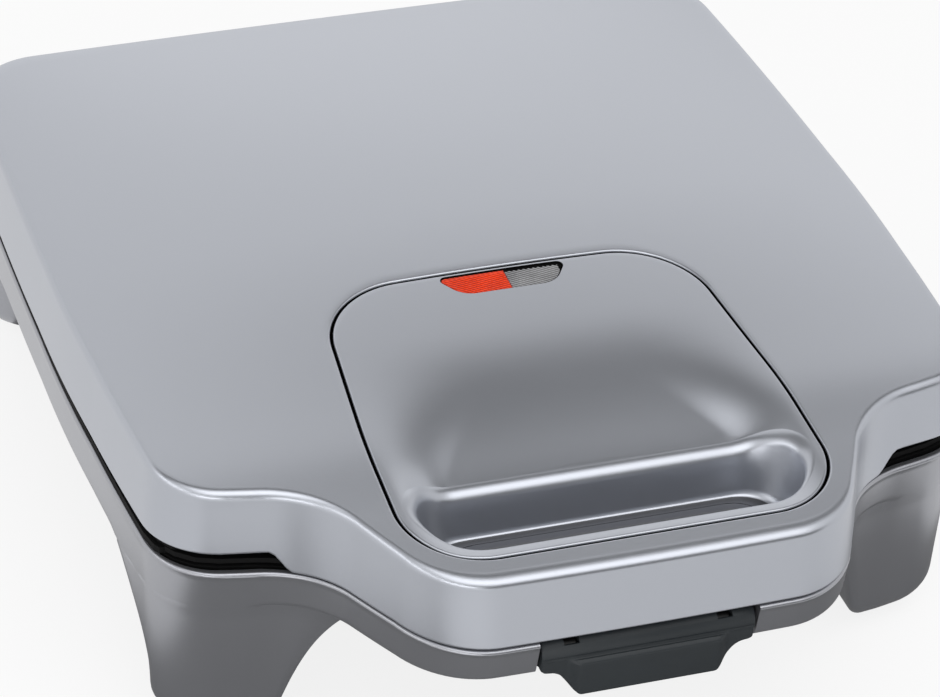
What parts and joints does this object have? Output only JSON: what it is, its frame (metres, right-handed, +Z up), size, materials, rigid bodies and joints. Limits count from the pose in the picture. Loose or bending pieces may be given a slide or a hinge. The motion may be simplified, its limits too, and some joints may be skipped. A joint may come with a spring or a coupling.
{
  "type": "sandwich toaster",
  "caption": "Countertop sandwich toaster with a domed hinged lid, a finger-grip handle recess, a swinging front latch and flared feet.",
  "frame": {"origin": "on the surface that it stands on, under the middle of its box with the lid closed", "axes": "+Z up, front with the handle and latch towards -Y, hinges at +Y, +X to the right"},
  "size_m": [0.2738, 0.327, 0.1034],
  "materials": {
    "silver": "satin silver paint on moulded plastic",
    "black_plastic": "fine matt grain",
    "non_stick": "cast aluminium with a dark non-stick coat",
    "heater_steel": "dull sheathed tube",
    "sheet": "plain rolled sheet",
    "screw_steel": "zinc-plated steel",
    "rubber": "matt black rubber",
    "ceramic": "off-white ceramic-filled moulding",
    "white_plastic": "white nylon",
    "red_plastic": "clear red, ribbed",
    "clear_plastic": "clear, ribbed",
    "lamp_glass": "clear glass",
    "slate_plastic": "satin slate grey"
  },
  "bodies": {
    "base": {"base_shell": "silver", "base_frame": "black_plastic", "lower_plate": "non_stick", "lower_heater": "heater_steel", "lower_reflector": "sheet", "bottom_cover": "black_plastic", "cover_screws": "screw_steel", "foot_pads": "rubber", "thermostat": "ceramic", "terminal_block": "white_plastic", "cable_bushing": "rubber", "base_hinge_brackets": "silver", "base_hinge_screws": "screw_steel", "hinge_pins": "screw_steel"},
    "lid": {"lid_shell": "silver", "lid_frame": "black_plastic", "upper_plate": "non_stick", "upper_heater": "heater_steel", "upper_reflector": "sheet", "handle_inlay": "silver", "recess_tray": "black_plastic", "red_lens": "red_plastic", "clear_lens": "clear_plastic", "lamp_holder": "black_plastic", "neon_lamps": "lamp_glass", "thermal_fuse": "heater_steel", "lid_hinge_brackets": "silver", "lid_hinge_screws": "screw_steel", "latch_bracket": "screw_steel", "latch_pin": "screw_steel"},
    "latch": {"latch_clip": "slate_plastic"}
  },
  "joints": [
    {"name": "lid_hinge", "type": "hinge", "parent": "base", "child": "lid", "pos_m": [0, 0.1575, 0.069], "axis": [-1, 0, 0], "range_deg": [0, 100]},
    {"name": "latch_swing", "type": "hinge", "parent": "lid", "child": "latch", "pos_m": [0, -0.1562, 0.0602], "axis": [-1, 0, 0], "range_deg": [0, 40]}
  ]
}
